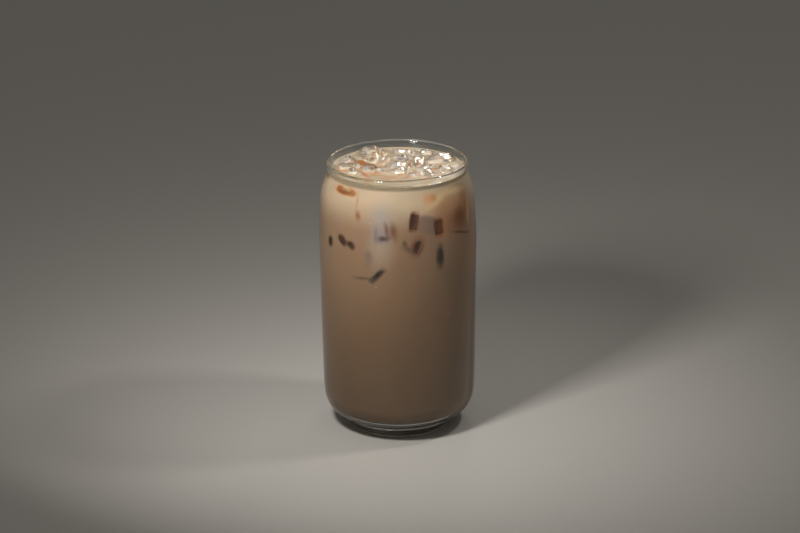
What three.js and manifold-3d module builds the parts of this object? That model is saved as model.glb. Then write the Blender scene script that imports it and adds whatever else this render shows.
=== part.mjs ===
// An iced white coffee in a can-shaped drinking glass.
// Millimetres, +Z up, with the origin on the table under the middle of the foot and -Y towards the viewer.
// The glass is one pressed piece of clear glass. The milky coffee fills it to just under the lip, and
// melting ice cubes float in it. Those that break the surface are pieces here, each in its own hollow of
// the drink.

import * as THREE from 'three';
import { mergeVertices } from 'three/addons/utils/BufferGeometryUtils.js';
import Module from 'manifold-3d';

const wasm = await Module();
wasm.setup();

// Outside of the glass
const GLASS_HEIGHT = 133;
const BELLY_RADIUS = 37.95;
const BELLY_HEIGHT = 92;
const SHOULDER_RADIUS = 37.2;
const SHOULDER_HEIGHT = 114.5;
const NECK_RADIUS = 33.4;
const NECK_HEIGHT = 130.6;
const LIP_RADIUS = 33.7;
const LIP_BEAD_RADIUS = 0.9;
const LIP_START_DEGREES = -40;
const HEEL_RADIUS = 36.8;
const HEEL_HEIGHT = 19.5;
const FOOT_RADIUS = 25.6;
const FOOT_HEIGHT = 5.6;
const FOOT_EDGE_RADIUS = 1.2;
const FOOT_RING_INNER_RADIUS = 21.6;
const COVE_WIDTH = 2.4;
const COVE_START_HEIGHT = 2.8;
const COVE_DROP = 0.9;
const PUNT_DEPTH = 1.6;
const PUNT_FLAT_SHARE = 0.83;

// How full the glass is between those places: how far its bends are drawn out of the straight line
const HEEL_SWEEP_OUT = 5;
const HEEL_SWEEP_RISE = 1.3;
const HEEL_SWEEP_DROP = 9.5;
const HEEL_SWEEP_IN = 0.4;
const LOW_SIDE_FULLNESS = 0.5;
const HIGH_SIDE_HOLLOW = 0.7;
const SHOULDER_FULLNESS = 0.12;
const SHOULDER_REACH = 6.5;
const NECK_REACH = 5.1;
const NECK_HOLLOW = 0.1;

// Inside of the glass
const WALL = 1.9;
const NECK_WALL = 1.6;
const INNER_HEEL_RADIUS = 34.9;
const INNER_HEEL_HEIGHT = 17.4;
const FLOOR_HEIGHT = 11.1;
const FLOOR_RADIUS = 28.8;
const FLOOR_CORNER_PULL = 0.45;

// Drink and ice
const DRINK_LEVEL = 128.4;
const ICE_GAP = 0.3;
const WALL_GAP = 0.38;

// Fineness of the facets
const SIDES_ROUND = 56;
const COARSE_STEPS = 3;
const FINE_STEPS = 5;
const LARGE_CUBE_STEPS = 4;
const SMALL_CUBE_STEPS = 3;
const SMALL_CUBE_VOLUME = 600;
const MERGE_DISTANCE = 0.0005;

const CLEAR_GLASS = { color: '#dfe8e8', roughness: 0.03, metalness: 0, transparent: true, opacity: 0.35 };
const MILKY_COFFEE = { color: '#b89a78', roughness: 0.35, metalness: 0 };
const WATER_ICE = { color: '#e6e2da', roughness: 0.1, metalness: 0, transparent: true, opacity: 0.6 };

// The ice that breaks the surface. Each cube has its width, depth and height, the place of its middle, and
// its turn in degrees about X, about Y and about its own upright. With a power of 2 it would be a ball,
// and a high power leaves it a sharp cube. roof is the share of the height that the top has lost along its
// left and right edges, so that it slopes away from a ridge.
const ICE = [
  { name: 'back_left', size: [15.8, 22, 12], at: [-11.2, 15.7, 125.6], turn: [11, 11, 4], power: 6, roof: 0.5 },
  { name: 'left_back', size: [5, 7.6, 8], at: [-23.4, 11.4, 127.4], turn: [8, -12, 14], power: 5, roof: 0.2 },
  { name: 'left', size: [10.4, 6.6, 9], at: [-22.9, 1.5, 126.3], turn: [10, 4, 10], power: 6 },
  { name: 'left_front', size: [5.2, 5.2, 7], at: [-21, -6.7, 127], turn: [14, 8, -20], power: 5 },
  { name: 'front_left', size: [5.6, 8.2, 8], at: [-14.2, -2.6, 126.8], turn: [12, 6, -14], power: 5, roof: 0.2 },
  { name: 'front_chip', size: [4, 6.8, 7], at: [-7.9, -3.8, 126.8], turn: [6, -5, 6], power: 4, roof: 0.2 },
  { name: 'middle_back', size: [7.6, 8.6, 9], at: [2, 13.5, 126], turn: [10, -10, 8], power: 6, roof: 0.2 },
  { name: 'middle', size: [9.6, 15.8, 9], at: [0.4, -2, 126.6], turn: [4, -8, -3], power: 6, roof: 0.25 },
  { name: 'middle_right', size: [6.5, 12.6, 9], at: [10.1, 5.5, 126.6], turn: [6, 4, -2], power: 7 },
  { name: 'back', size: [9.6, 6.6, 8], at: [2.9, 23.8, 126], turn: [8, 6, 4], power: 5 },
  { name: 'back_chip', size: [4.6, 4.8, 6], at: [9.4, 16.6, 127.2], turn: [-8, 10, 20], power: 4 },
  { name: 'back_right', size: [8, 5.8, 8], at: [14.4, 22, 127.4], turn: [-6, 10, -14], power: 6, roof: 0.35 },
  { name: 'right', size: [13.2, 11.6, 13], at: [21.1, 10.8, 125.3], turn: [6, -6, 2], power: 5, roof: 0.1 },
  { name: 'right_middle', size: [4.4, 4.4, 7], at: [16.4, 1, 126.7], turn: [8, 4, 6], power: 5, roof: 0.2 },
  { name: 'front_right', size: [7.2, 12, 9], at: [13.9, -8.6, 126.4], turn: [10, -10, 20], power: 6, roof: 0.2 },
  { name: 'right_front', size: [6.2, 8.8, 8], at: [22.9, -4.2, 126.8], turn: [10, 6, 10], power: 6, roof: 0.15 },
  { name: 'front_chip_right', size: [4.2, 4.8, 6], at: [7.4, -11.2, 127], turn: [4, -4, 20], power: 4, roof: 0.2 },
];

function point(radius, height) {
  return new THREE.Vector2(radius, height);
}

/** Joins curves end to end into one outline. Each entry is [curve, steps]. */
function outline(pieces) {
  const points = [];
  for (const [curve, steps] of pieces) {
    for (const p of curve.getPoints(steps)) {
      const last = points.at(-1);
      if (!last || last.distanceTo(p) > MERGE_DISTANCE) points.push(p);
    }
  }
  return points;
}

function line(from, to) {
  return [new THREE.LineCurve(from, to), 1];
}

function bend(from, leave, arrive, to, steps = FINE_STEPS) {
  return [new THREE.CubicBezierCurve(from, leave, arrive, to), steps];
}

function arc(centre, radius, fromDegrees, toDegrees, steps = COARSE_STEPS) {
  const from = THREE.MathUtils.degToRad(fromDegrees);
  const to = THREE.MathUtils.degToRad(toDegrees);
  return [new THREE.EllipseCurve(centre.x, centre.y, radius, radius, from, to), steps];
}

/** The side from the heel over the belly and the shoulder up to the neck, drawn in by a wall's thickness. */
function sideCurves(heel, wall = 0, neckWall = 0) {
  const belly = point(BELLY_RADIUS - wall, BELLY_HEIGHT);
  const shoulder = point(SHOULDER_RADIUS - wall, SHOULDER_HEIGHT);
  const neck = point(NECK_RADIUS - neckWall, NECK_HEIGHT);
  const sideRise = (BELLY_HEIGHT - heel.y) / 3;
  const shoulderRise = (SHOULDER_HEIGHT - BELLY_HEIGHT) / 3;
  return [
    bend(
      heel,
      point(HEEL_RADIUS + LOW_SIDE_FULLNESS - wall, heel.y + sideRise),
      point(belly.x - HIGH_SIDE_HOLLOW, belly.y - sideRise),
      belly,
      COARSE_STEPS,
    ),
    bend(
      belly,
      point(belly.x + SHOULDER_FULLNESS, belly.y + shoulderRise),
      point(shoulder.x + SHOULDER_FULLNESS, shoulder.y - shoulderRise),
      shoulder,
      COARSE_STEPS,
    ),
    bend(
      shoulder,
      point(shoulder.x - NECK_HOLLOW, shoulder.y + SHOULDER_REACH),
      point(neck.x - NECK_HOLLOW, neck.y - NECK_REACH),
      neck,
    ),
  ];
}

/** The outside, from the middle of the underside up to the neck. */
function outsideCurves() {
  const punt = point(0, PUNT_DEPTH);
  const puntEdge = point(FOOT_RING_INNER_RADIUS * PUNT_FLAT_SHARE, PUNT_DEPTH);
  const ringInner = point(FOOT_RING_INNER_RADIUS, 0);
  const footEdge = point(FOOT_RADIUS - FOOT_EDGE_RADIUS, FOOT_EDGE_RADIUS);
  const footTop = point(FOOT_RADIUS, FOOT_EDGE_RADIUS);
  const cove = point(FOOT_RADIUS + COVE_WIDTH, FOOT_HEIGHT);
  const heel = point(HEEL_RADIUS, HEEL_HEIGHT);
  return [
    bend(punt, point(puntEdge.x / 2, PUNT_DEPTH), puntEdge, ringInner, COARSE_STEPS),
    line(ringInner, point(footEdge.x, 0)),
    arc(footEdge, FOOT_EDGE_RADIUS, -90, 0),
    bend(
      footTop,
      point(FOOT_RADIUS, COVE_START_HEIGHT),
      point(FOOT_RADIUS, FOOT_HEIGHT - COVE_DROP),
      cove,
      COARSE_STEPS,
    ),
    bend(
      cove,
      point(cove.x + HEEL_SWEEP_OUT, cove.y + HEEL_SWEEP_RISE),
      point(heel.x - HEEL_SWEEP_IN, heel.y - HEEL_SWEEP_DROP),
      heel,
    ),
    ...sideCurves(heel),
  ];
}

/** The rounded lip, from the outside of the neck over to its inside. */
function lipCurves() {
  const bead = point(LIP_RADIUS - LIP_BEAD_RADIUS, GLASS_HEIGHT - LIP_BEAD_RADIUS);
  return [arc(bead, LIP_BEAD_RADIUS, LIP_START_DEGREES, 180, FINE_STEPS)];
}

/** The inside, from the middle of the floor up to the neck. inset draws it in from the glass. */
function insideCurves(inset = 0) {
  const middle = point(0, FLOOR_HEIGHT + inset);
  const floor = point(FLOOR_RADIUS, FLOOR_HEIGHT + inset);
  const heel = point(INNER_HEEL_RADIUS - inset, INNER_HEEL_HEIGHT);
  return [
    line(middle, floor),
    bend(
      floor,
      point(THREE.MathUtils.lerp(heel.x, floor.x, FLOOR_CORNER_PULL), floor.y),
      point(heel.x, THREE.MathUtils.lerp(floor.y, heel.y, FLOOR_CORNER_PULL)),
      heel,
    ),
    ...sideCurves(heel, WALL + inset, NECK_WALL + inset),
  ];
}

/** Turns an outline that starts and ends on the axis round the upright axis. */
function turned(points) {
  return new THREE.LatheGeometry(points, SIDES_ROUND).rotateX(Math.PI / 2);
}

/** The same geometry with shared corners, and without the triangles that have no area. */
function welded(geometry) {
  const bare = geometry.clone();
  bare.deleteAttribute('normal');
  bare.deleteAttribute('uv');
  const merged = mergeVertices(bare, MERGE_DISTANCE);
  const corners = merged.index.array;
  const kept = [];
  for (let i = 0; i < corners.length; i += 3) {
    const [a, b, c] = corners.slice(i, i + 3);
    if (a !== b && b !== c && c !== a) kept.push(a, b, c);
  }
  merged.setIndex(kept);
  return merged;
}

function asSolid(geometry) {
  const closed = welded(geometry);
  return new wasm.Manifold(
    new wasm.Mesh({
      numProp: 3,
      vertProperties: new Float32Array(closed.attributes.position.array),
      triVerts: new Uint32Array(closed.index.array),
    }),
  );
}

function asGeometry(solid) {
  const { vertProperties, triVerts } = solid.getMesh();
  const geometry = new THREE.BufferGeometry();
  geometry.setAttribute('position', new THREE.BufferAttribute(new Float32Array(vertProperties), 3));
  geometry.setIndex(new THREE.BufferAttribute(new Uint32Array(triVerts), 1));
  geometry.computeVertexNormals();
  return geometry;
}

/** Moves the grid lines of a face towards its edges, where the rounding needs them. */
function towardsEdge(part) {
  return Math.sign(part) * Math.sqrt(Math.abs(part));
}

/** A cube whose edges have melted round. grow makes it larger on every side. */
function meltedCube({ size, at, turn, power, roof = 0 }, grow = 0) {
  const [width, depth, height] = size.map((side) => side / 2 + grow);
  const steps = size[0] * size[1] * size[2] < SMALL_CUBE_VOLUME ? SMALL_CUBE_STEPS : LARGE_CUBE_STEPS;
  const cube = new THREE.BoxGeometry(2, 2, 2, steps, steps, steps);
  const corners = cube.attributes.position;
  for (let i = 0; i < corners.count; i += 1) {
    const place = [corners.getX(i), corners.getY(i), corners.getZ(i)].map(towardsEdge);
    const reach = place.reduce((sum, part) => sum + Math.abs(part) ** power, 0);
    const [x, y, z] = place.map((part) => part / reach ** (1 / power));
    const slope = z > 0 ? 1 - roof * Math.abs(x) : 1;
    corners.setXYZ(i, x * width, y * depth, z * height * slope);
  }
  const [aboutX, aboutY, aboutUpright] = turn.map(THREE.MathUtils.degToRad);
  const pose = new THREE.Matrix4().makeRotationFromEuler(new THREE.Euler(aboutX, aboutY, aboutUpright));
  return cube.applyMatrix4(pose.setPosition(...at));
}

function makeGlass() {
  const outside = outline([...outsideCurves(), ...lipCurves()]);
  const inside = outline(insideCurves());
  return turned([...outside, ...inside.reverse()]);
}

/** The drink up to its level, with a hollow round each piece of ice. */
function makeDrink() {
  const side = outline(insideCurves(WALL_GAP)).filter((p) => p.y < DRINK_LEVEL);
  const edge = point(side.at(-1).x, DRINK_LEVEL);
  let drink = asSolid(turned([...side, edge, point(0, DRINK_LEVEL)]));
  for (const piece of ICE) {
    drink = drink.subtract(asSolid(meltedCube(piece, ICE_GAP)));
  }
  return asGeometry(drink);
}

function named(name, geometry, finish) {
  const mesh = new THREE.Mesh(geometry, new THREE.MeshStandardMaterial(finish));
  mesh.name = name;
  return mesh;
}

const icedCoffee = new THREE.Group();
icedCoffee.add(named('glass', makeGlass(), CLEAR_GLASS));
icedCoffee.add(named('drink', makeDrink(), MILKY_COFFEE));
for (const piece of ICE) {
  icedCoffee.add(named(`ice_${piece.name}`, meltedCube(piece), WATER_ICE));
}

export default icedCoffee;
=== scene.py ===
import math
import random

import bpy
from mathutils import Euler, Matrix, Vector
from mathutils.bvhtree import BVHTree


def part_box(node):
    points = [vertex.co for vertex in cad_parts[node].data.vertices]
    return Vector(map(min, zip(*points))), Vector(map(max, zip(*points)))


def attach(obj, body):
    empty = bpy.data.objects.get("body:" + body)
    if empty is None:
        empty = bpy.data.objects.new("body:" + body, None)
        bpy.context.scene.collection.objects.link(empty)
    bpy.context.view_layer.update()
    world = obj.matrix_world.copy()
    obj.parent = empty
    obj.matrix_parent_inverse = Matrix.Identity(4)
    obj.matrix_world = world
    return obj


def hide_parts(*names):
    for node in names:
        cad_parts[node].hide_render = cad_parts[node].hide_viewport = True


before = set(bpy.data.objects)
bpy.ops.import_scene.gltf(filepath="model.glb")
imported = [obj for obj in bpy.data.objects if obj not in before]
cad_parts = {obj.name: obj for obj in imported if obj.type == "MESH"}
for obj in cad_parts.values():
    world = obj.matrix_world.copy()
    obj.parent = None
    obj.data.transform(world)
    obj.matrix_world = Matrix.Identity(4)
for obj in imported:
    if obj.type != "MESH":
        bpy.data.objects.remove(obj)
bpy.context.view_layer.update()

# The glass
# One piece of clear soda-lime glass, blown in a mould: a foot ring, a thick flat base, sides that swell
# slightly towards the shoulder, and a neck drawn in under a fire-polished lip.
GLASS_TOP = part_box("glass")[1][2]
BELLY_RADIUS = 0.03795
BELLY_HEIGHT = 0.092
SHOULDER_RADIUS = 0.0372
SHOULDER_HEIGHT = 0.1145
NECK_RADIUS = 0.0334
NECK_HEIGHT = 0.1306
LIP_RADIUS = 0.0337
LIP_BEAD = 0.0009
HEEL_RADIUS = 0.0368
HEEL_HEIGHT = 0.0195
COVE_RADIUS = 0.028
COVE_HEIGHT = 0.0056
FOOT_RADIUS = 0.0256
FOOT_EDGE = 0.0012
FOOT_RING_INNER = 0.0222
PUNT_DEPTH = 0.0016
WALL = 0.0019
NECK_WALL = 0.0016
INNER_HEEL_RADIUS = 0.0349
INNER_HEEL_HEIGHT = 0.0174
FLOOR_HEIGHT = 0.0111
FLOOR_RADIUS = 0.0288
INNER_CORNER_PULL = 0.0034
ARC_PULL = 0.5523
OUTLINE_STEPS = 14
SIDES = 192
WELD = 0.000002


def knot(radius, height, heading, before, after):
    """A place on an outline, with the way it heads there in degrees and the lengths of its handles."""
    along = Vector((math.cos(math.radians(heading)), 0, math.sin(math.radians(heading))))
    place = Vector((radius, 0, height))
    return place, place - along * before, place + along * after


def side_knots(heel_height, wall=0.0, neck_wall=0.0):
    """The side above the heel, up over the belly and the shoulder to the neck."""
    rise = (BELLY_HEIGHT - heel_height) / 3
    shoulder_rise = (SHOULDER_HEIGHT - BELLY_HEIGHT) / 3
    return [
        knot(BELLY_RADIUS - wall, BELLY_HEIGHT, 88.5, rise, shoulder_rise),
        knot(SHOULDER_RADIUS - wall, SHOULDER_HEIGHT, 90.9, shoulder_rise, 0.0065),
        knot(NECK_RADIUS - neck_wall, NECK_HEIGHT, 88.9, 0.0051, 0.0004),
    ]


def inside_knots(reach=0.0):
    """The inside of the glass from the middle of its floor to the neck, or that far into the wall."""
    floor = FLOOR_HEIGHT - reach
    rise = (BELLY_HEIGHT - INNER_HEEL_HEIGHT) / 3
    corner = INNER_CORNER_PULL
    return [
        knot(0, floor, 0, 0, FLOOR_RADIUS / 3),
        knot(FLOOR_RADIUS, floor, 0, FLOOR_RADIUS / 3, corner),
        knot(INNER_HEEL_RADIUS + reach, INNER_HEEL_HEIGHT, 89.2, corner, rise),
        *side_knots(INNER_HEEL_HEIGHT, WALL - reach, NECK_WALL - reach),
    ]


def spun(name, knots):
    """A closed piece turned round the upright axis from an outline that starts and ends on it."""
    bpy.ops.object.select_all(action="DESELECT")
    bpy.ops.curve.primitive_bezier_curve_add(radius=1, location=(0, 0, 0))
    outline = bpy.context.object
    spline = outline.data.splines[0]
    spline.bezier_points.add(len(knots) - len(spline.bezier_points))
    for point, (place, before, after) in zip(spline.bezier_points, knots):
        point.handle_left_type = "FREE"
        point.handle_right_type = "FREE"
        point.co = place
        point.handle_left = before
        point.handle_right = after
    outline.data.resolution_u = OUTLINE_STEPS
    bpy.ops.object.convert(target="MESH")
    bpy.ops.object.mode_set(mode="EDIT")
    bpy.ops.mesh.select_all(action="SELECT")
    bpy.ops.mesh.spin(steps=SIDES, angle=math.tau, center=(0, 0, 0), axis=(0, 0, 1))
    bpy.ops.mesh.select_all(action="SELECT")
    bpy.ops.mesh.remove_doubles(threshold=WELD)
    bpy.ops.mesh.normals_make_consistent(inside=False)
    bpy.ops.object.mode_set(mode="OBJECT")
    bpy.ops.object.shade_smooth()
    piece = bpy.context.object
    piece.name = name
    return piece


foot_pull = ARC_PULL * FOOT_EDGE
lip_pull = ARC_PULL * LIP_BEAD
lip_middle = GLASS_TOP - LIP_BEAD
outside = [
    knot(0, PUNT_DEPTH, 0, 0, 0.009),
    knot(FOOT_RING_INNER, 0, 0, 0.004, 0.0004),
    knot(FOOT_RADIUS - FOOT_EDGE, 0, 0, 0.0004, foot_pull),
    knot(FOOT_RADIUS, FOOT_EDGE, 90, foot_pull, 0.0016),
    knot(COVE_RADIUS, COVE_HEIGHT, 17, 0.0026, 0.0052),
    knot(HEEL_RADIUS, HEEL_HEIGHT, 88.2, 0.0095, (BELLY_HEIGHT - HEEL_HEIGHT) / 3),
    *side_knots(HEEL_HEIGHT),
    knot(LIP_RADIUS, lip_middle, 90, lip_pull, lip_pull),
    knot(LIP_RADIUS - LIP_BEAD, GLASS_TOP, 180, lip_pull, lip_pull),
    knot(LIP_RADIUS - 2 * LIP_BEAD, lip_middle, 270, lip_pull, lip_pull),
]
inside_down = [(place, after, before) for place, before, after in reversed(inside_knots())]
glass = spun("drinking_glass", outside + inside_down)


def linear(code):
    """An sRGB hex colour as linear red, green, blue and alpha."""
    parts = [int(code[i : i + 2], 16) / 255 for i in (1, 3, 5)]
    return (*[p / 12.92 if p <= 0.04045 else ((p + 0.055) / 1.055) ** 2.4 for p in parts], 1)


def add_node(material, kind, settings=None, links=None):
    """Adds a node of that kind, with settings for its properties and inputs, and with its links."""
    node = material.node_tree.nodes.new(kind)
    for key, value in (settings or {}).items():
        if isinstance(key, str) and hasattr(node, key):
            setattr(node, key, value)
        else:
            node.inputs[key].default_value = value
    for key, socket in (links or {}).items():
        material.node_tree.links.new(socket, node.inputs[key])
    return node


def new_material(name):
    """An empty material, and the output that its shader goes into."""
    material = bpy.data.materials.new(name)
    material.use_nodes = True
    material.node_tree.nodes.clear()
    return material, material.node_tree.nodes.new("ShaderNodeOutputMaterial")


def soda_lime_glass():
    """Clear soda-lime glass, blown in a mould, so its wall has faint, slow waves, 22 mm long."""
    material, output = new_material("soda-lime glass")
    place = add_node(material, "ShaderNodeTexCoord")
    waves = add_node(
        material,
        "ShaderNodeTexNoise",
        {"Scale": 45, "Detail": 1, "Roughness": 0.4},
        {"Vector": place.outputs["Object"]},
    )
    bump = add_node(
        material,
        "ShaderNodeBump",
        {"Strength": 0.25, "Distance": 0.00025},
        {"Height": waves.outputs["Fac"]},
    )
    shader = add_node(
        material,
        "ShaderNodeBsdfPrincipled",
        {
            "Base Color": linear("#fafdfc"),
            "Roughness": 0.0,
            "IOR": 1.52,
            "Transmission Weight": 1.0,
        },
        {"Normal": bump.outputs["Normal"]},
    )
    material.node_tree.links.new(shader.outputs["BSDF"], output.inputs["Surface"])
    return material


glass.data.materials.append(soda_lime_glass())
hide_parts("glass")
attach(glass, "root")

# The floating ice
# Cubes of freshwater ice, rounded and dented by melting. They float, so most of each one is under the
# coffee. They are clear at their sides and cloudy in places, where air froze in.
FLOATING = [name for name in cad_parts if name.startswith("ice_")]
ICE_VOXEL = 0.0003
ICE_SMOOTHING = 5
MELT_DENTS = 0.0009
MELT_RIPPLES = 0.00008
ICE_COLOUR = "#fdf5ea"
FILM_COLOUR = "#e6d6c0"
FILM_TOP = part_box("drink")[1][2] + 0.0006
FILM_REACH = 0.0024
FILM_UNEVENNESS = 0.003
FILM_CLEARNESS = 0.55


def add_modifier(piece, kind, **settings):
    """Adds a modifier with those settings to a piece and applies it."""
    bpy.ops.object.select_all(action="DESELECT")
    piece.select_set(True)
    bpy.context.view_layer.objects.active = piece
    modifier = piece.modifiers.new(kind.lower(), kind)
    for key, value in settings.items():
        setattr(modifier, key, value)
    bpy.ops.object.modifier_apply(modifier=modifier.name)


def copied(source, name):
    """A copy of an object with its own mesh."""
    piece = bpy.data.objects.new(name, source.data.copy())
    bpy.context.scene.collection.objects.link(piece)
    return piece


def merge_corners(piece):
    """Makes one closed skin of a piece's loose triangles."""
    bpy.ops.object.select_all(action="DESELECT")
    piece.select_set(True)
    bpy.context.view_layer.objects.active = piece
    bpy.ops.object.mode_set(mode="EDIT")
    bpy.ops.mesh.select_all(action="SELECT")
    bpy.ops.mesh.remove_doubles(threshold=WELD)
    bpy.ops.object.mode_set(mode="OBJECT")


def clouds(name, size, depth=1):
    """A cloudy pattern of that grain size, for dents."""
    pattern = bpy.data.textures.new(name, "CLOUDS")
    pattern.noise_scale = size
    pattern.noise_depth = depth
    return pattern


melt_hollows = clouds("melt hollows", 0.005)
melt_ripples = clouds("melt ripples", 0.0014)


def melt(piece, dents):
    """Turns a plain cube into melting ice: an even fine mesh, smoothed, then dented."""
    piece.data.materials.clear()
    add_modifier(piece, "REMESH", mode="VOXEL", voxel_size=ICE_VOXEL)
    add_modifier(piece, "SMOOTH", factor=0.5, iterations=ICE_SMOOTHING)
    add_modifier(piece, "DISPLACE", texture=melt_hollows, strength=dents, mid_level=0.5)
    add_modifier(piece, "DISPLACE", texture=melt_ripples, strength=MELT_RIPPLES, mid_level=0.5)
    bpy.ops.object.shade_smooth()


def freshwater_ice(name, clearest, cloudiest, ripple, film_top=None):
    """Freshwater ice with cloudy patches 4 mm wide and ripples 1 mm wide.

    clearest and cloudiest are the shares of light that its patches let through, and ripple is how strong
    the ripples are. A film of milk covers the ice under film_top and thins out unevenly towards it.
    """
    material, output = new_material(name)
    place = add_node(material, "ShaderNodeTexCoord")
    patches = add_node(
        material,
        "ShaderNodeTexNoise",
        {"Scale": 240, "Detail": 3, "Roughness": 0.5},
        {"Vector": place.outputs["Object"]},
    )
    cloudiness = add_node(
        material,
        "ShaderNodeMapRange",
        {"From Min": 0.4, "From Max": 0.65, "To Min": clearest, "To Max": cloudiest},
        {"Value": patches.outputs["Fac"]},
    )
    ripples = add_node(
        material,
        "ShaderNodeTexNoise",
        {"Scale": 900, "Detail": 2, "Roughness": 0.5},
        {"Vector": place.outputs["Object"]},
    )
    bump = add_node(
        material,
        "ShaderNodeBump",
        {"Strength": ripple, "Distance": 0.0002},
        {"Height": ripples.outputs["Fac"]},
    )
    patterns = {"Transmission Weight": cloudiness.outputs["Result"], "Normal": bump.outputs["Normal"]}
    if film_top is not None:
        separate = add_node(
            material, "ShaderNodeSeparateXYZ", None, {"Vector": place.outputs["Object"]}
        )
        uneven = add_node(
            material,
            "ShaderNodeMath",
            {"operation": "MULTIPLY_ADD", 1: -FILM_UNEVENNESS},
            {0: patches.outputs["Fac"], 2: separate.outputs["Z"]},
        )
        film = add_node(
            material,
            "ShaderNodeMapRange",
            {
                "interpolation_type": "SMOOTHSTEP",
                "From Min": film_top - FILM_REACH,
                "From Max": film_top,
                "To Min": 1.0,
                "To Max": 0.0,
            },
            {"Value": uneven.outputs["Value"]},
        )
        colour = add_node(
            material,
            "ShaderNodeMix",
            {"data_type": "RGBA", "A": linear(ICE_COLOUR), "B": linear(FILM_COLOUR)},
            {"Factor": film.outputs["Result"]},
        )
        filmed = add_node(
            material,
            "ShaderNodeMapRange",
            {"From Min": 0.0, "From Max": 1.0, "To Min": 1.0, "To Max": FILM_CLEARNESS},
            {"Value": film.outputs["Result"]},
        )
        clear_share = add_node(
            material,
            "ShaderNodeMath",
            {"operation": "MULTIPLY"},
            {0: cloudiness.outputs["Result"], 1: filmed.outputs["Result"]},
        )
        patterns["Base Color"] = colour.outputs["Result"]
        patterns["Transmission Weight"] = clear_share.outputs["Value"]
    shader = add_node(
        material,
        "ShaderNodeBsdfPrincipled",
        {
            "Base Color": linear(ICE_COLOUR),
            "Roughness": 0.03,
            "IOR": 1.31,
            "Subsurface Weight": 1.0,
            "Subsurface Radius": (1.0, 0.9, 0.75),
            "Subsurface Scale": 0.0015,
            "Coat Weight": 1.0,
            "Coat Roughness": 0.13,
            "Coat IOR": 1.6,
        },
        patterns,
    )
    material.node_tree.links.new(shader.outputs["BSDF"], output.inputs["Surface"])
    return material


wet_ice = freshwater_ice("cloudy ice", clearest=0.94, cloudiest=0.7, ripple=0.3, film_top=FILM_TOP)
floating_ice = []
for name in FLOATING:
    cube = copied(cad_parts[name], "floating_" + name)
    merge_corners(cube)
    melt(cube, MELT_DENTS)
    cube.data.materials.append(wet_ice)
    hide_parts(name)
    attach(cube, "root")
    floating_ice.append(cube)

# The coffee's body
# Milky coffee poured round the ice up to just under the lip. It wets the glass and the ice, climbs a little
# up both, and swells over ice that lies awash. It reaches just into the glass wall, so that no air shows.
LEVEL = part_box("drink")[1][2]
WALL_REACH = 0.00015
EDGE_CLIMB = [(0.0006, 0.0005), (0.0007, 0.0003), (0.001, 0.00015), (0.0016, 0.00005)]
RING_SPACING = 0.0006
ICE_CLIMB = 0.0006
ICE_CLIMB_WIDTH = 0.0020
SWELL = 0.0016
SWELL_WIDTH = 0.0085
EDGE_WIDTH = 0.0040
FURROW = 0.0003


def spun_inside(name, reach):
    """The space inside the glass up to its neck, or a little more, as a solid."""
    return spun(name, inside_knots(reach) + [knot(0, NECK_HEIGHT, 180, 0.0004, 0)])


def poured(name):
    """The coffee up to its level. Its surface climbs at the glass and has rings of even faces."""
    piece = spun_inside(name, WALL_REACH)
    edge_height = LEVEL + sum(drop for _, drop in EDGE_CLIMB)
    bpy.ops.object.mode_set(mode="EDIT")
    bpy.ops.mesh.select_all(action="SELECT")
    bpy.ops.mesh.bisect(
        plane_co=(0, 0, edge_height), plane_no=(0, 0, 1), use_fill=True, clear_outer=True
    )
    radius = NECK_RADIUS - NECK_WALL
    for width, drop in EDGE_CLIMB:
        bpy.ops.mesh.inset(thickness=width, depth=-drop)
        radius -= width
    while radius > 2 * RING_SPACING:
        bpy.ops.mesh.inset(thickness=RING_SPACING, depth=0)
        radius -= RING_SPACING
    bpy.ops.mesh.merge(type="CENTER")
    bpy.ops.object.mode_set(mode="OBJECT")
    bpy.ops.object.shade_smooth()
    return piece


def joined(pieces, name):
    """Copies of those pieces as one mesh."""
    copies = [copied(piece, name) for piece in pieces]
    bpy.ops.object.select_all(action="DESELECT")
    for each in copies:
        each.select_set(True)
    bpy.context.view_layer.objects.active = copies[0]
    bpy.ops.object.join()
    return copies[0]


coffee = poured("milky_coffee")
surface = coffee.vertex_groups.new(name="surface")
surface.add([v.index for v in coffee.data.vertices if v.co.z > LEVEL - WELD], 1, "REPLACE")
all_floating = joined(floating_ice, "all_floating_ice")
add_modifier(
    coffee,
    "VERTEX_WEIGHT_PROXIMITY",
    vertex_group="surface",
    target=all_floating,
    proximity_mode="GEOMETRY",
    proximity_geometry={"FACE"},
    min_dist=ICE_CLIMB_WIDTH,
    max_dist=0,
    falloff_type="SMOOTH",
)
add_modifier(
    coffee, "DISPLACE", vertex_group="surface", direction="Z", strength=ICE_CLIMB, mid_level=0
)
bpy.data.objects.remove(all_floating)
swells = bpy.data.textures.new("ice awash", "VORONOI")
swells.noise_scale = SWELL_WIDTH
swells.weight_1 = -1
swells.weight_2 = 1
open_surface = coffee.vertex_groups.new(name="open surface")
near_ice = {}
openness = {}
for vertex in coffee.data.vertices:
    if vertex.co.z > LEVEL - WELD:
        inwards = (NECK_RADIUS - NECK_WALL - vertex.co.xy.length) / EDGE_WIDTH
        openness[vertex.index] = min(max(inwards, 0), 1)
        open_surface.add([vertex.index], openness[vertex.index], "REPLACE")
        weights = [each.weight for each in vertex.groups if each.group == surface.index]
        near_ice[vertex.index] = max(weights, default=0)
level_before = {index: coffee.data.vertices[index].co.z for index in near_ice}
add_modifier(
    coffee,
    "DISPLACE",
    texture=swells,
    vertex_group="open surface",
    direction="Z",
    strength=SWELL,
    mid_level=0,
)
# Browner thin milk over ice, and painted shade in the furrows between the swells
thin_milk_and_shade = coffee.data.attributes.new("thin_milk_and_shade", "FLOAT", "POINT")
for index, share in near_ice.items():
    swell = coffee.data.vertices[index].co.z - level_before[index]
    furrow = (1 - swell / FURROW) * openness[index]
    thin_milk_and_shade.data[index].value = min(max(furrow, share, 0), 1)

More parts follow.
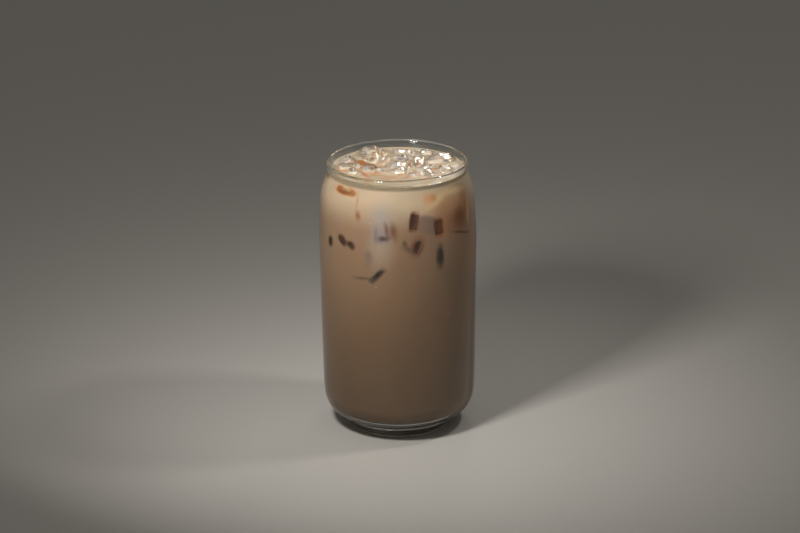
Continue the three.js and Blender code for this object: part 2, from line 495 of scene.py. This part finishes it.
# The ice sunk at the wall
# More ice lies under the coffee, against the inside of the glass, and shows through the wall. Each row
# gives the degrees from the viewer's side towards +X, the height, the width, depth and height of the
# piece, its turn clockwise, how deep its middle lies, and how round it has melted.
ICE_REACH = 0.0001
SUNK_CUTS = 5
SUNK_DENTS = 0.0003
SUNK_CREASE = math.radians(50)
SUNK = {
    "sunk_amber_crescent": (-46.6, 0.1250, (0.0110, 0.0020, 0.0030), 2, 0.0006, 0.5),
    "sunk_dark_drop": (-59.4, 0.0987, (0.0028, 0.0018, 0.0042), 0, 0.0006, 0.6),
    "sunk_knob": (-45.6, 0.1014, (0.0050, 0.0020, 0.0031), 37, 0.0007, 0.6),
    "sunk_small_knob": (-36.8, 0.0999, (0.0034, 0.0018, 0.0026), 37, 0.0006, 0.6),
    "sunk_tick": (-15.2, 0.0871, (0.0070, 0.0015, 0.0017), -44, 0.0006, 0.5),
    "sunk_cube_left_end": (12.3, 0.1132, (0.0038, 0.0020, 0.0074), 8, 0.0006, 0.2),
    "sunk_cube_right_end": (31.9, 0.1093, (0.0044, 0.0020, 0.0072), -4, 0.0006, 0.2),
    "sunk_red_blob": (14.7, 0.1010, (0.0036, 0.0020, 0.0062), 21, 0.0007, 0.6),
    "sunk_dark_sliver": (32.8, 0.0948, (0.0024, 0.0018, 0.0080), 0, 0.0006, 0.7),
}
def at_wall(azimuth, height, turn):
    """The pose of a piece on the coffee's side, with its Y axis inwards."""
    outward = Vector((math.sin(math.radians(azimuth)), -math.cos(math.radians(azimuth)), 0))
    place, normal = coffee.ray_cast(Vector((0, 0, height)), outward)[1:3]
    facing = (-normal).to_track_quat("Y", "Z").to_matrix().to_4x4()
    return Matrix.Translation(place) @ facing @ Matrix.Rotation(math.radians(turn), 4, "Y")


def sunk_cube(name, pose, size, roundness):
    """A melted cube of that size under the coffee."""
    bpy.ops.object.select_all(action="DESELECT")
    bpy.ops.mesh.primitive_cube_add(size=1, location=(0, 0, 0))
    cube = bpy.context.object
    cube.name = name
    bpy.ops.object.mode_set(mode="EDIT")
    bpy.ops.mesh.subdivide(number_cuts=SUNK_CUTS)
    bpy.ops.transform.tosphere(value=roundness)
    bpy.ops.object.mode_set(mode="OBJECT")
    cube.data.transform(pose @ Matrix.Diagonal((*size, 1)))
    melt(cube, SUNK_DENTS)
    return cube


clear_ice = freshwater_ice("clear ice", clearest=1.0, cloudiest=0.97, ripple=0.05)
cavity = spun_inside("space_in_the_glass", ICE_REACH)
sunk_shapes = []
for name, (azimuth, height, size, turn, depth, roundness) in SUNK.items():
    pose = at_wall(azimuth, height, turn) @ Matrix.Translation((0, depth, 0))
    shape = sunk_cube(name + "_shape", pose, size, roundness)
    sunk_shapes.append(shape)
    piece = copied(shape, name)
    add_modifier(piece, "BOOLEAN", operation="INTERSECT", object=cavity, solver="MANIFOLD")
    bpy.ops.object.shade_smooth_by_angle(angle=SUNK_CREASE)
    piece.data.materials.clear()
    piece.data.materials.append(clear_ice)
    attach(piece, "root")
bpy.data.objects.remove(cavity)

# The hollows in the coffee, and its colour
# The coffee closes round each piece of ice. What is seen through ice is the wall of its hollow, painted
# lighter and more amber the deeper it lies, as painted light, and thin milk over ice is browner, with
# painted shade in the furrows between ice. The coffee is painted paler towards the top as painted light,
# greyer in its top 1.5 mm, partly watery from melted ice and partly painted shade, and darker towards the
# floor as painted shade.
# Heights of the painted light towards the top and of the painted shade towards the floor
PALE_HEIGHT = 0.124
TAN_HEIGHT = 0.1058
DARKENING_HEIGHTS = (0.020, 0.085)
WATERY_AND_SHADED_DEPTHS = (0.0015, 0.0002)
DEEP = 0.006
STAIN_DEPTH = 0.012
STAIN_WAVER = 0.0016
CREASE = math.radians(40)
SKIN_OVERLAP = 0.0001
HOLLOW_FACES_KEPT = 0.22
# Stains, where ice lies at the wall or just under a skin of coffee, among them painted reflections of a
# light on the glass and a painted glint. Each row gives the degrees and height of its middle, its width and
# height, its turn clockwise, the softness of its edge, and its colour. First come the hazes and the sides
# of cubes, which are oblong, and then the round ones over them.
OBLONG_STAINS = {
    "right cube": (49, 0.1144, 0.0215, 0.0190, -8, 0.7, "#c79f7c"),
    "crescent": (-46.6, 0.1250, 0.0120, 0.0036, 2, 0.6, "#dba068"),
    "cube, middle": (22.0, 0.1112, 0.0100, 0.0080, 18, 0.5, "#a68f80"),
    "cube, left end": (12.3, 0.1133, 0.0042, 0.0082, 8, 0.6, "#9d6d5a"),
    "cube, left edge": (10.9, 0.1135, 0.0020, 0.0076, 8, 0.7, "#8f5838"),
    "cube, right end": (31.9, 0.1093, 0.0050, 0.0082, -4, 0.6, "#a66c4f"),
    "cube, right streak": (34.6, 0.1086, 0.0016, 0.0060, -4, 0.8, "#c07a45"),
    "tick": (-15.4, 0.0869, 0.0078, 0.0024, -44, 0.8, "#564541"),
}
ROUND_STAINS_AND_REFLECTIONS = {
    # Painted reflections of a light on the glass, soft and lilac
    "painted lilac reflection": (-12.9, 0.1149, 0.0100, 0.0100, 0, 1.0, "#c6bcb5"),
    "painted reflection below it": (-12.7, 0.1000, 0.0100, 0.0150, 0, 1.0, "#c6b4a2"),
    "right cube, low": (56, 0.1085, 0.0150, 0.0110, 0, 1.0, "#b58d72"),
    "cream edge, rising": (31.5, 0.1218, 0.0130, 0.0034, -29, 1.0, "#e6cfa6"),
    "cream edge, top": (51, 0.1243, 0.0130, 0.0030, 5, 1.0, "#e8cfa6"),
    "right cube, core": (54.1, 0.1117, 0.008, 0.009, 16, 0.9, "#a06a44"),
    "right cube, upper": (60.4, 0.1178, 0.0056, 0.0072, 0, 1.0, "#bb8a5e"),
    "right cube, pale edge": (65.2, 0.1122, 0.0024, 0.0125, 0, 0.8, "#dcb48e"),
    "right cube, line": (55.6, 0.1033, 0.0120, 0.0012, 16, 0.9, "#7c6048"),
    "left shoulder": (-80, 0.1270, 0.0060, 0.0018, 0, 0.9, "#a87a55"),
    "crescent, underside": (-49.5, 0.1243, 0.0084, 0.0026, 2, 0.8, "#b9783f"),
    # A painted glint on the ice in the crescent
    "crescent, painted glint": (-47.2, 0.1258, 0.0052, 0.0020, 0, 0.7, "#fbe6bd"),
    "crescent, tip": (-38.2, 0.1248, 0.0036, 0.0030, 2, 0.8, "#cda27e"),
    "flake": (-29.8, 0.1287, 0.0048, 0.0020, 0, 0.9, "#c09067"),
    "line under the tip": (-33.2, 0.1208, 0.0012, 0.0074, 0, 1.0, "#c4b09b"),
    "red fleck": (-31.2, 0.1153, 0.0024, 0.0040, 0, 1.0, "#a1745b"),
    "drop": (-59.4, 0.0987, 0.0038, 0.0054, 0, 0.7, "#5f4435"),
    "knob": (-45.4, 0.1014, 0.0062, 0.004, 37, 0.7, "#68422c"),
    "link": (-41.2, 0.1008, 0.0034, 0.0022, 25, 0.9, "#8a7067"),
    "small knob": (-36.9, 0.1001, 0.0048, 0.0036, 37, 0.7, "#683d21"),
    # Partly ice at the wall, partly a painted reflection of a light on the glass
    "grey square, part painted reflection": (-12.7, 0.1068, 0.0070, 0.0070, 0, 0.9, "#b9afb1"),
    "square, dark corner": (-10.8, 0.1052, 0.0050, 0.0026, -8, 1.0, "#6a5e5e"),
    "square, left side": (-16.5, 0.1068, 0.0016, 0.0066, 0, 1.0, "#a09394"),
    "arc beside it": (-8.4, 0.1094, 0.0018, 0.0064, -10, 1.0, "#957868"),
    "red arc": (-3.1, 0.1088, 0.0028, 0.0072, -8, 1.0, "#95705b"),
    "grey fleck": (-22.4, 0.0964, 0.0030, 0.0040, 0, 1.0, "#9c8c7e"),
    "grey fleck, low": (-22.8, 0.0932, 0.0022, 0.0054, 6, 1.0, "#a39382"),
    "tick, lower end": (-18.4, 0.0845, 0.0036, 0.0024, -25, 0.9, "#75706e"),
    "tail": (-27.0, 0.0845, 0.0084, 0.0014, -2, 1.0, "#8a7664"),
    "blob": (14.8, 0.1012, 0.0056, 0.0092, 21, 0.9, "#9f725b"),
    "blob, core": (14.5, 0.1004, 0.0042, 0.0056, 21, 0.9, "#874f36"),
    "smile, left end": (5.1, 0.1028, 0.0020, 0.0030, -20, 1.0, "#80705e"),
    "smile": (8.6, 0.1000, 0.0060, 0.0024, 24, 1.0, "#907569"),
    "sliver": (32.8, 0.0947, 0.0036, 0.0098, 0, 0.9, "#5a4544"),
    "amber chip": (24.9, 0.1231, 0.0046, 0.0044, -20, 1.0, "#e2b089"),
    "small amber chip": (29.9, 0.1233, 0.0030, 0.0032, 0, 1.0, "#d2a27a"),
}
# Brown bands on the surface, where coffee stands in the gaps between ice: partly thin milk and partly
# painted shade, and the ones under the large ice are a painted shadow. Each row gives the place of its
# middle, its length and width, its turn from +X towards +Y, the softness of its edge, and its colour.
BANDS = {
    "left": (-20.6e-3, -1.2e-3, 0.0150, 0.0030, 16, 0.7, "#a36f45"),
    # A painted shadow under the large ice
    "under the large ice": (-15.2e-3, 6.0e-3, 0.0180, 0.0046, -50, 0.7, "#8c5d36"),
    "under the large ice, tip": (-10.6e-3, 1.6e-3, 0.0070, 0.0034, -50, 0.6, "#6f4526"),
    "far left": (-24.0e-3, 7.1e-3, 0.0065, 0.0022, 47, 0.7, "#9f7350"),
    "front left": (-15.8e-3, -8.6e-3, 0.0088, 0.0026, -64, 0.7, "#9f6e4e"),
    "beside the chip": (-8.2e-3, -5.9e-3, 0.0066, 0.0028, 43, 0.7, "#a97a5c"),
    "middle": (6.8e-3, -8.7e-3, 0.0050, 0.0026, 41, 0.7, "#a1734e"),
    "right": (18.3e-3, -1.3e-3, 0.0135, 0.0026, -15, 0.7, "#996a42"),
    "back": (1.7e-3, 18.2e-3, 0.0076, 0.0036, 10, 0.7, "#8f857a"),
    "back right": (14.0e-3, 17.0e-3, 0.0100, 0.0036, -50, 0.7, "#958a7d"),
    "front": (-2.0e-3, -13.8e-3, 0.0056, 0.0018, -20, 0.8, "#ac7f60"),
}


def at_surface(x, y, turn):
    """The pose of a band on the coffee's surface, with its X axis along it and its Y axis down."""
    along = Matrix.Rotation(math.radians(turn), 4, "Z") @ Matrix.Rotation(math.radians(-90), 4, "X")
    return Matrix.Translation((x, y, LEVEL)) @ along


marks = [(row, at_wall(*row[:2], row[4]), True) for row in OBLONG_STAINS.values()]
marks += [(row, at_wall(*row[:2], row[4]), False) for row in ROUND_STAINS_AND_REFLECTIONS.values()]
marks += [(row, at_surface(*row[:2], row[4]), False) for row in BANDS.values()]
plain_skin = BVHTree.FromPolygons(
    [v.co for v in coffee.data.vertices], [p.vertices for p in coffee.data.polygons]
)
for shape in floating_ice + sunk_shapes:
    hollow = copied(shape, "hollow")
    hollow.data.materials.clear()
    add_modifier(hollow, "DISPLACE", strength=-SKIN_OVERLAP, mid_level=0)
    add_modifier(hollow, "DECIMATE", ratio=HOLLOW_FACES_KEPT)
    add_modifier(coffee, "BOOLEAN", operation="DIFFERENCE", object=hollow, solver="MANIFOLD")
    bpy.data.objects.remove(hollow)
for shape in sunk_shapes:
    bpy.data.objects.remove(shape)
depths = coffee.data.attributes.new("depth", "FLOAT", "POINT")
for vertex in coffee.data.vertices:
    depths.data[vertex.index].value = plain_skin.find_nearest(vertex.co)[3]
bpy.ops.object.select_all(action="DESELECT")
coffee.select_set(True)
bpy.context.view_layer.objects.active = coffee
bpy.ops.object.shade_smooth_by_angle(angle=CREASE)


def stain_factor(material, place, pose, width, tall, softness, oblong):
    """1 in the middle of a round or oblong stain at that pose, and 0 outside its edge.

    The edge is half faded where the stain has its width and height. A softness of 1 fades from the middle.
    """
    spread = 0.5 / (1 - 0.5 * softness)
    spot = add_node(
        material,
        "ShaderNodeMapping",
        {
            "vector_type": "TEXTURE",
            "Location": pose.translation,
            "Rotation": pose.to_euler(),
            "Scale": (width * spread, STAIN_DEPTH, tall * spread),
        },
        {"Vector": place},
    )
    inner = 1 - softness
    if oblong:
        inner = inner**2
        links = {0: spot.outputs["Vector"], 1: spot.outputs["Vector"]}
        spot = add_node(material, "ShaderNodeVectorMath", {"operation": "MULTIPLY"}, links)
    reach = add_node(
        material, "ShaderNodeVectorMath", {"operation": "LENGTH"}, {0: spot.outputs["Vector"]}
    )
    edge = add_node(
        material,
        "ShaderNodeMapRange",
        {"interpolation_type": "SMOOTHSTEP", "From Min": 1.0, "From Max": inner},
        {"Value": reach.outputs["Value"]},
    )
    return edge.outputs["Result"]


def milky_coffee():
    """Coffee with milk: beige and cloudy, light spreads a little inside it, with soft stains round ice,
    painted reflections, a painted glint, and painted light and shade.

    The stains' outlines waver in grains of 4 mm, and the brown bands break up in patches of 6 mm.
    """
    material, output = new_material("milky coffee")
    place = add_node(material, "ShaderNodeTexCoord")
    waver = add_node(
        material,
        "ShaderNodeTexNoise",
        {"Scale": 260, "Detail": 2},
        {"Vector": place.outputs["Object"]},
    )
    centred = add_node(
        material,
        "ShaderNodeVectorMath",
        {"operation": "SUBTRACT"},
        {"Vector": waver.outputs["Color"]},
    )
    centred.inputs[1].default_value = (0.5, 0.5, 0.5)
    wavering = add_node(material, "ShaderNodeVectorMath", {"operation": "MULTIPLY_ADD"})
    wavering.inputs[1].default_value = [STAIN_WAVER] * 3
    material.node_tree.links.new(centred.outputs["Vector"], wavering.inputs[0])
    material.node_tree.links.new(place.outputs["Object"], wavering.inputs[2])
    separate = add_node(
        material, "ShaderNodeSeparateXYZ", None, {"Vector": place.outputs["Object"]}
    )
    # Painted shade: the coffee is darker towards the floor
    rise = add_node(
        material,
        "ShaderNodeMapRange",
        {"From Min": DARKENING_HEIGHTS[0], "From Max": DARKENING_HEIGHTS[1]},
        {"Value": separate.outputs["Z"]},
    )
    colour = add_node(
        material,
        "ShaderNodeMix",
        {"data_type": "RGBA", "A": linear("#95795d"), "B": linear("#b5987e")},
        {"Factor": rise.outputs["Result"]},
    )
    # Painted light: the coffee is paler towards the top
    height = add_node(
        material,
        "ShaderNodeMapRange",
        {"interpolation_type": "SMOOTHSTEP", "From Min": TAN_HEIGHT, "From Max": PALE_HEIGHT},
        {"Value": separate.outputs["Z"]},
    )
    # Greyer and darker in the top 1.5 mm: partly watery coffee, partly painted shade on the surface
    watery_and_shaded = add_node(
        material,
        "ShaderNodeMapRange",
        {
            "interpolation_type": "SMOOTHSTEP",
            "From Min": LEVEL - WATERY_AND_SHADED_DEPTHS[0],
            "From Max": LEVEL - WATERY_AND_SHADED_DEPTHS[1],
        },
        {"Value": separate.outputs["Z"]},
    )
    # Painted light: the walls of the hollows round ice are lighter and more amber the deeper they lie
    depth = add_node(material, "ShaderNodeAttribute", {"attribute_name": "depth"})
    share = add_node(
        material,
        "ShaderNodeMapRange",
        {"From Min": 0.0, "From Max": DEEP},
        {"Value": depth.outputs["Fac"]},
    )
    # Brown bands: thin milk over ice and painted shade in the gaps between ice
    thin_milk_and_shade = add_node(material, "ShaderNodeAttribute", {"attribute_name": "thin_milk_and_shade"})
    broken = add_node(
        material,
        "ShaderNodeTexNoise",
        {"Scale": 170, "Detail": 2},
        {"Vector": place.outputs["Object"]},
    )
    patches = add_node(
        material,
        "ShaderNodeMapRange",
        {"From Min": 0.4, "From Max": 0.6},
        {"Value": broken.outputs["Fac"]},
    )
    bands = add_node(
        material,
        "ShaderNodeMath",
        {"operation": "MULTIPLY"},
        {0: thin_milk_and_shade.outputs["Fac"], 1: patches.outputs["Result"]},
    )
    # Painted light towards the top, greyish at the surface partly as painted shade, lighter amber in the
    # hollows as painted light, and brown bands over ice partly as painted shade
    layers = [
        (height.outputs["Result"], "#d8c7af"),
        (watery_and_shaded.outputs["Result"], "#a29682"),
        (share.outputs["Result"], "#f0cfa0"),
        (bands.outputs["Value"], "#a17e60"),
    ]
    # Stains round ice, painted reflections and a painted glint
    for (_, _, width, tall, _, softness, stain), pose, oblong in marks:
        edge = stain_factor(material, wavering.outputs["Vector"], pose, width, tall, softness, oblong)
        layers.append((edge, stain))
    for factor, shade in layers:
        colour = add_node(
            material,
            "ShaderNodeMix",
            {"data_type": "RGBA", "B": linear(shade)},
            {"Factor": factor, "A": colour.outputs["Result"]},
        )
    shader = add_node(
        material,
        "ShaderNodeBsdfPrincipled",
        {
            "Roughness": 0.25,
            "IOR": 1.35,
            "Subsurface Weight": 1.0,
            "Subsurface Radius": (1.0, 0.75, 0.55),
            "Subsurface Scale": 0.0015,
        },
        {"Base Color": colour.outputs["Result"]},
    )
    material.node_tree.links.new(shader.outputs["BSDF"], output.inputs["Surface"])
    return material


coffee.data.materials.clear()
coffee.data.materials.append(milky_coffee())
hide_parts("drink")
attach(coffee, "root")

# The cracks and air in the ice
# Freezing has left each cube a cracked, milky sheet and strings of small round air bubbles, which glint
# inside the clear ice. Both lie well inside it.
CRACK_THICKNESS = 0.00006
CRACK_DEPTH = 0.0005
CRACK_WAVINESS = 0.0022
CRACK_LEAN = (50, 80)
CRACK_SHIFT = 0.15
CRACK_MARGIN = 1.2
CRACK_GRID = 40
AIR_PER_ICE = 14
AIR_TRIES = 4 * AIR_PER_ICE
AIR_RADII = (0.00012, 0.00034)
AIR_STARTS = (0.3, 0.7)
AIR_LINE = 0.4
AIR_SCATTER = 0.1
AIR_INDEX = 0.76
crack_waves = clouds("crack waves", 0.004, 2)
chance = random.Random(11)


def crack_sheet(ice):
    """A thin uneven sheet right through the middle of a piece of ice, steep and turned at random."""
    centre = sum((Vector(corner) for corner in ice.bound_box), Vector()) / 8
    reach = max(ice.dimensions) * CRACK_MARGIN
    bpy.ops.object.select_all(action="DESELECT")
    bpy.ops.mesh.primitive_grid_add(
        x_subdivisions=CRACK_GRID, y_subdivisions=CRACK_GRID, size=reach, location=(0, 0, 0)
    )
    sheet = bpy.context.object
    sheet.name = ice.name.replace("floating_ice", "crack_in_ice")
    lean = math.radians(chance.uniform(*CRACK_LEAN))
    upright = math.radians(chance.uniform(0, 360))
    shift = Vector([chance.uniform(-CRACK_SHIFT, CRACK_SHIFT) * side for side in ice.dimensions])
    turned = Euler((lean, 0, upright)).to_matrix().to_4x4()
    sheet.data.transform(Matrix.Translation(centre + shift) @ turned)
    add_modifier(sheet, "DISPLACE", texture=crack_waves, strength=CRACK_WAVINESS, mid_level=0.5)
    add_modifier(sheet, "SOLIDIFY", thickness=CRACK_THICKNESS, offset=0)
    core = copied(ice, "core")
    add_modifier(core, "DISPLACE", strength=-CRACK_DEPTH, mid_level=0)
    add_modifier(sheet, "BOOLEAN", operation="INTERSECT", object=core, solver="MANIFOLD")
    bpy.ops.object.shade_smooth_by_angle(angle=CREASE)
    bpy.data.objects.remove(core)
    return sheet


def crack_frost():
    """A crack's frosted faces: white and rough, in upright streaks 2 mm wide with clear ice between."""
    material, output = new_material("frosted crack")
    place = add_node(material, "ShaderNodeTexCoord")
    stretched = add_node(
        material,
        "ShaderNodeMapping",
        {"Scale": (1.0, 1.0, 0.45)},
        {"Vector": place.outputs["Object"]},
    )
    streaks = add_node(
        material,
        "ShaderNodeTexNoise",
        {"Scale": 520, "Detail": 4, "Roughness": 0.65},
        {"Vector": stretched.outputs["Vector"]},
    )
    cover = add_node(
        material,
        "ShaderNodeMapRange",
        {"From Min": 0.5, "From Max": 0.6, "To Min": 0.0, "To Max": 0.85},
        {"Value": streaks.outputs["Fac"]},
    )
    shader = add_node(
        material,
        "ShaderNodeBsdfPrincipled",
        {"Base Color": linear("#f6f3ee"), "Roughness": 0.3},
        {"Alpha": cover.outputs["Result"]},
    )
    material.node_tree.links.new(shader.outputs["BSDF"], output.inputs["Surface"])
    return material


def bubbles(name, places):
    """One mesh of small round bubbles, from their middles and radii."""
    mesh = bpy.data.meshes.new(name)
    piece = bpy.data.objects.new(name, mesh)
    bpy.context.scene.collection.objects.link(piece)
    bpy.ops.object.select_all(action="DESELECT")
    piece.select_set(True)
    bpy.context.view_layer.objects.active = piece
    bpy.ops.object.mode_set(mode="EDIT")
    for place, radius in places:
        bpy.ops.mesh.primitive_uv_sphere_add(segments=12, ring_count=8, radius=radius, location=place)
    bpy.ops.object.mode_set(mode="OBJECT")
    bpy.ops.object.shade_smooth()
    return piece


def air_in(ice):
    """Middles and radii of bubbles inside a piece of ice, most of them near one line, as they froze in."""
    low = Vector([min(corner[axis] for corner in ice.bound_box) for axis in range(3)])
    start = low + Vector([chance.uniform(*AIR_STARTS) * side for side in ice.dimensions])
    along = Vector([chance.uniform(-AIR_LINE, AIR_LINE) * side for side in ice.dimensions])
    found = []
    for _ in range(AIR_TRIES):
        place = start + along * chance.uniform(-1, 1)
        place += Vector([chance.gauss(0, AIR_SCATTER) * side for side in ice.dimensions])
        radius = chance.uniform(*AIR_RADII)
        near, normal = ice.closest_point_on_mesh(place)[1:3]
        clear = all((place - other).length > radius + size for other, size in found)
        if (place - near).dot(normal) < -radius - AIR_RADII[0] and clear:
            found.append((place, radius))
        if len(found) == AIR_PER_ICE:
            break
    return found


def trapped_air():
    """Air inside ice: its surface mirrors light like a bright bead, as air bends it less than ice."""
    material, output = new_material("air in ice")
    shader = add_node(
        material,
        "ShaderNodeBsdfPrincipled",
        {"Transmission Weight": 1.0, "Roughness": 0.0, "IOR": AIR_INDEX},
    )
    material.node_tree.links.new(shader.outputs["BSDF"], output.inputs["Surface"])
    return material


frost = crack_frost()
for ice in floating_ice:
    crack = crack_sheet(ice)
    crack.data.materials.clear()
    crack.data.materials.append(frost)
    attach(crack, "root")
air = bubbles("air_in_the_ice", [bubble for ice in floating_ice for bubble in air_in(ice)])
air.data.materials.append(trapped_air())
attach(air, "root")

# The bubbles in the coffee
# A few small bubbles cling to the glass below the surface, and more stand in a ring along its edge, where
# pouring left them. Each is a film of milky coffee round air.
WALL_BUBBLES = [(-20.7, 0.1125), (-10.3, 0.1036), (-13.4, 0.0938), (-16.8, 0.0808), (40.4, 0.0652)]
RIM_BUBBLES = 26
FOAM_RADII = (0.00030, 0.00048)
RIM_BUBBLE_DISTANCES = (0.0004, 0.0022)
foam_places = []
for azimuth, height in WALL_BUBBLES:
    pose = at_wall(azimuth, height, 0)
    foam_places.append((pose.translation, FOAM_RADII[0]))
for _ in range(RIM_BUBBLES):
    azimuth = math.radians(chance.uniform(0, 360))
    radius = chance.uniform(*FOAM_RADII)
    out = NECK_RADIUS - NECK_WALL - EDGE_CLIMB[0][0] - chance.uniform(*RIM_BUBBLE_DISTANCES)
    foam_places.append((Vector((out * math.sin(azimuth), -out * math.cos(azimuth), LEVEL)), radius))


def bubble_film():
    """A bubble's film of milky coffee: pale, thin and glossy."""
    material, output = new_material("milky bubble film")
    shader = add_node(
        material,
        "ShaderNodeBsdfPrincipled",
        {
            "Base Color": linear("#efe2cc"),
            "Roughness": 0.1,
            "IOR": 1.34,
            "Subsurface Weight": 0.6,
            "Subsurface Radius": (1.0, 0.8, 0.6),
            "Subsurface Scale": 0.0004,
        },
    )
    material.node_tree.links.new(shader.outputs["BSDF"], output.inputs["Surface"])
    return material


foam = bubbles("bubbles_in_the_coffee", foam_places)
foam.data.materials.append(bubble_film())
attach(foam, "root")

# The studio
# A plain pale table top, a soft lamp near the front left of the rim, a weak one at the right, one behind
# that makes the ice glint, and weak even light from all round.
FLOOR_SIZE = 10
EVEN_LIGHT = 0.2
LAMP_AIM = Vector((0, 0, 0.13))
LAMP_SPREAD = math.radians(120)
bpy.ops.object.select_all(action="DESELECT")
bpy.ops.mesh.primitive_plane_add(size=FLOOR_SIZE, location=(0, 0, 0))
floor = bpy.context.object
floor.name = "floor"


def painted_board():
    """A board painted matt, pale grey."""
    material, output = new_material("matt painted board")
    shader = add_node(
        material,
        "ShaderNodeBsdfPrincipled",
        {"Base Color": linear("#b9b7b4"), "Roughness": 0.7},
    )
    material.node_tree.links.new(shader.outputs["BSDF"], output.inputs["Surface"])
    return material


floor.data.materials.append(painted_board())

scene = bpy.context.scene
scene.world = bpy.data.worlds.new("even light")
scene.world.use_nodes = True
scene.world.node_tree.nodes["Background"].inputs["Color"].default_value = linear("#e8e3da")
scene.world.node_tree.nodes["Background"].inputs["Strength"].default_value = EVEN_LIGHT


def soft_lamp(name, place, size, power):
    """A square warm white lamp at a place, facing the drink's surface."""
    bpy.ops.object.light_add(type="AREA", location=place)
    lamp = bpy.context.object
    lamp.name = name
    lamp.data.size = size
    lamp.data.energy = power
    lamp.data.color = linear("#fffaf2")[:3]
    lamp.data.spread = LAMP_SPREAD
    ahead = LAMP_AIM - Vector(place)
    lamp.rotation_euler = ahead.to_track_quat("-Z", "Y").to_euler()


soft_lamp("front_lamp", (-0.09, -0.15, 0.24), 0.045, 0.31)
soft_lamp("side_lamp", (0.15, 0.0, 0.29), 0.03, 0.09)
soft_lamp("back_lamp", (0.05, 0.20, 0.24), 0.06, 0.025)

CAMERA_DISTANCE = 1.5
CAMERA_AIM = Vector((0.0009, 0, 0.07876))
CAMERA_PITCH = math.radians(19.66)
CAMERA_ROLL = math.radians(-0.55)
CAMERA_LENS = 139.6
backwards = Vector((0, -math.cos(CAMERA_PITCH), math.sin(CAMERA_PITCH)))
bpy.ops.object.camera_add(location=CAMERA_AIM + CAMERA_DISTANCE * backwards)
camera = bpy.context.object
camera.rotation_euler = (math.pi / 2 - CAMERA_PITCH, 0, 0)
camera.rotation_euler.rotate_axis("Z", CAMERA_ROLL)
camera.data.lens = CAMERA_LENS
camera.data.clip_end = 2 * FLOOR_SIZE
scene.camera = camera

scene.view_settings.view_transform = "Standard"
scene.cycles.use_denoising = True
scene.cycles.max_bounces = 20
scene.cycles.transmission_bounces = 20
scene.cycles.transparent_max_bounces = 16
